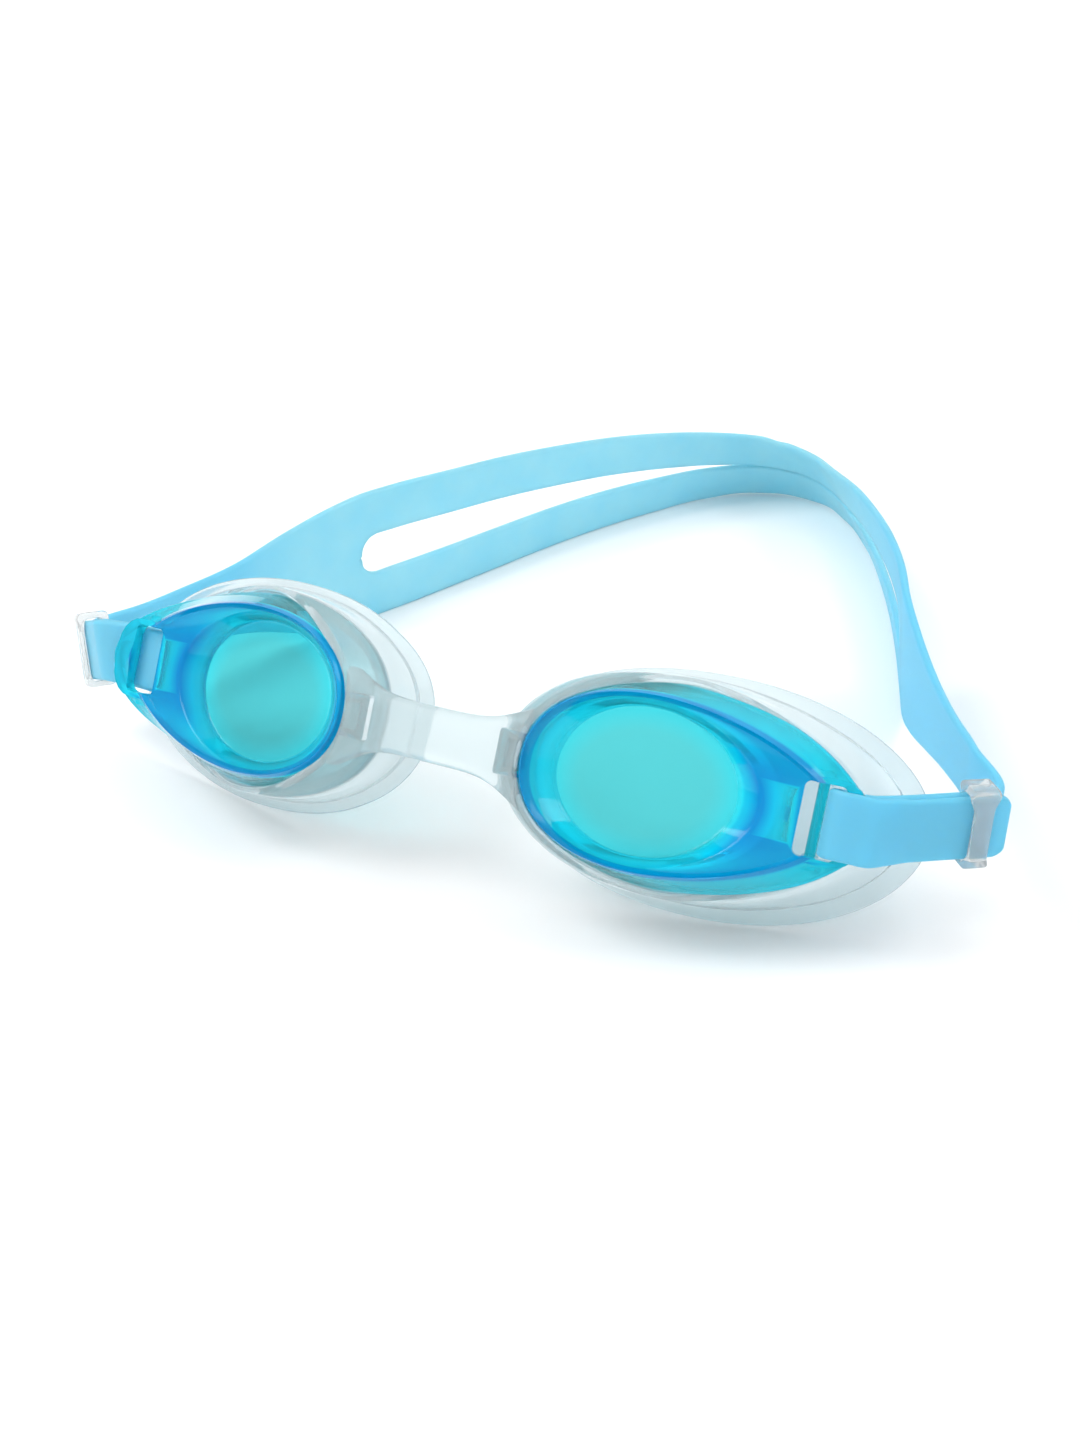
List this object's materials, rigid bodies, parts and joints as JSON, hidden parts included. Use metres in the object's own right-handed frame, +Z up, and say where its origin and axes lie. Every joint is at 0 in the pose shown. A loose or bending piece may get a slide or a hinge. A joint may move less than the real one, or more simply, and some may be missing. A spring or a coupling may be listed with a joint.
{
  "type": "swim goggles",
  "caption": "Swim goggles: tinted lens cups with clear soft seals and nose bridge, a split silicone head strap threaded through temple slots, and sliding strap keepers.",
  "frame": {"origin": "on the surface the goggles lie on, under the middle of their bounding box", "axes": "+Z up from the surface, -Y the way the lenses face, +X towards the wearer's left temple (the right-hand lens in the front view)"},
  "size_m": [0.1975, 0.2161, 0.0453],
  "materials": {
    "tinted_lens": "moulded transparent cyan polycarbonate, polished",
    "clear_silicone": "clear soft silicone, moulded, slightly milky",
    "strap_silicone": "translucent sky-blue silicone, satin",
    "clear_keeper": "clear moulded plastic, frosted cap"
  },
  "bodies": {
    "front": {"lens_right": "tinted_lens", "lens_left": "tinted_lens", "seal_right": "clear_silicone", "seal_left": "clear_silicone", "nose_bridge": "clear_silicone", "strap_end_right": "strap_silicone", "strap_end_left": "strap_silicone"},
    "head_strap": {"strap": "strap_silicone"},
    "right_keeper": {"keeper_right": "clear_keeper"},
    "left_keeper": {"keeper_left": "clear_keeper"}
  },
  "joints": [
    {"name": "strap_swing", "type": "hinge", "parent": "front", "child": "head_strap", "pos_m": [0.00058, -0.07564, 0.02171], "axis": [0.9992, 0.0067, 0.0382], "range_deg": [-20, 40]},
    {"name": "keeper_right_slide", "type": "slide", "parent": "front", "child": "right_keeper", "axis": [0.7286, 0.6794, -0.0872], "range_m": [-0.0095, 0]},
    {"name": "keeper_left_slide", "type": "slide", "parent": "front", "child": "left_keeper", "axis": [-0.6681, 0.623, -0.4067], "range_m": [-0.0095, 0]}
  ]
}
